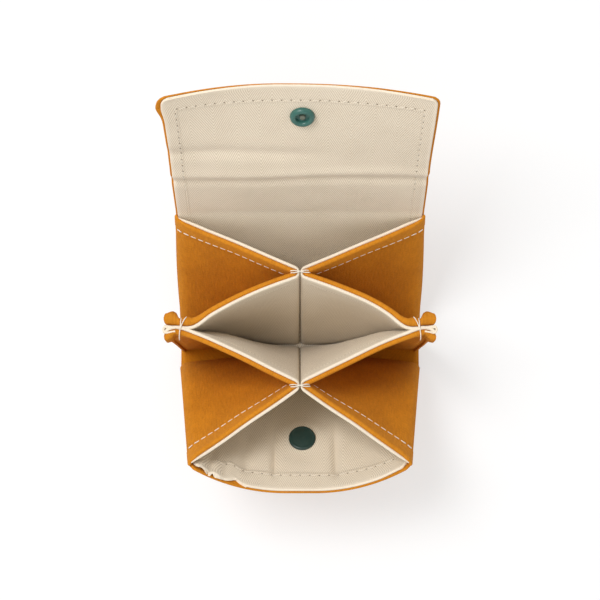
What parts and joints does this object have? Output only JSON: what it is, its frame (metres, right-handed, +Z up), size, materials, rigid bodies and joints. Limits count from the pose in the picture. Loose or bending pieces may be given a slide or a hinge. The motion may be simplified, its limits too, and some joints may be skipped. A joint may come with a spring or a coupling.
{
  "type": "coupon organizer wallet",
  "caption": "Standing accordion wallet in canvas with herringbone lining: pleated sides tied into pockets, a folding flap and a press snap.",
  "frame": {"origin": "centre of the underside of the base, where the wallet stands", "axes": "+X to the right across the wallet, +Y from the front panel to the flap, +Z up"},
  "size_m": [0.121, 0.1654, 0.1654],
  "materials": {
    "canvas": "woven cotton canvas",
    "lining": "herringbone cotton twill",
    "thread": "cotton thread",
    "snap": "moulded resin, satin gloss"
  },
  "bodies": {
    "base": {"base_canvas": "canvas", "base_lining": "lining", "left_pinch_tack": "thread", "right_pinch_tack": "thread"},
    "back_folds": {"gusset_left_back_canvas": "canvas", "gusset_left_back_lining": "lining", "gusset_right_back_canvas": "canvas", "gusset_right_back_lining": "lining", "back_tie_tack": "thread"},
    "back_panel": {"back_canvas": "canvas", "back_lining": "lining"},
    "flap_spine": {"flap_spine_canvas": "canvas", "flap_spine_lining": "lining"},
    "flap_cover": {"flap_cover_canvas": "canvas", "flap_cover_lining": "lining", "snap_socket": "snap", "snap_socket_cap": "snap"},
    "front_folds": {"gusset_left_front_canvas": "canvas", "gusset_left_front_lining": "lining", "gusset_right_front_canvas": "canvas", "gusset_right_front_lining": "lining", "front_tie_tack": "thread"},
    "front_panel": {"front_canvas": "canvas", "front_lining": "lining", "snap_stud": "snap", "snap_stud_cap": "snap"}
  },
  "joints": [
    {"name": "mouth_close", "type": "hinge", "parent": "front_folds", "child": "front_panel", "pos_m": [0, -0.011, 0.0022], "axis": [-1, 0, 0], "range_deg": [0, 27.5], "deforming": ["gusset_left_front_canvas", "gusset_left_front_lining", "gusset_right_front_canvas", "gusset_right_front_lining"]},
    {"name": "front_folds_gather", "type": "hinge", "parent": "base", "child": "front_folds", "pos_m": [0, -0.011, 0.0022], "axis": [-1, 0, 0], "range_deg": [0, 13.01], "deforming": ["gusset_left_front_canvas", "gusset_left_front_lining", "gusset_right_front_canvas", "gusset_right_front_lining"]},
    {"name": "back_folds_gather", "type": "hinge", "parent": "base", "child": "back_folds", "pos_m": [0, 0.011, 0.0022], "axis": [1, 0, 0], "range_deg": [0, 13.21], "deforming": ["gusset_left_back_canvas", "gusset_left_back_lining", "gusset_right_back_canvas", "gusset_right_back_lining"]},
    {"name": "back_panel_close", "type": "hinge", "parent": "back_folds", "child": "back_panel", "pos_m": [0, 0.011, 0.0022], "axis": [1, 0, 0], "range_deg": [0, 14.51], "deforming": ["gusset_left_back_canvas", "gusset_left_back_lining", "gusset_right_back_canvas", "gusset_right_back_lining"]},
    {"name": "flap_fold", "type": "hinge", "parent": "back_panel", "child": "flap_spine", "pos_m": [0, 0.05288, 0.0839], "axis": [1, 0, 0], "range_deg": [-15, 81.8]},
    {"name": "cover_fold", "type": "hinge", "parent": "flap_spine", "child": "flap_cover", "pos_m": [0, 0.0644, 0.11644], "axis": [1, 0, 0], "range_deg": [-4, 114.53]}
  ],
  "couplings": [
    {"joint": "front_folds_gather", "follows": "mouth_close", "ratio": 0.47273},
    {"joint": "back_folds_gather", "follows": "mouth_close", "ratio": 0.48},
    {"joint": "back_panel_close", "follows": "mouth_close", "ratio": 0.52727}
  ]
}
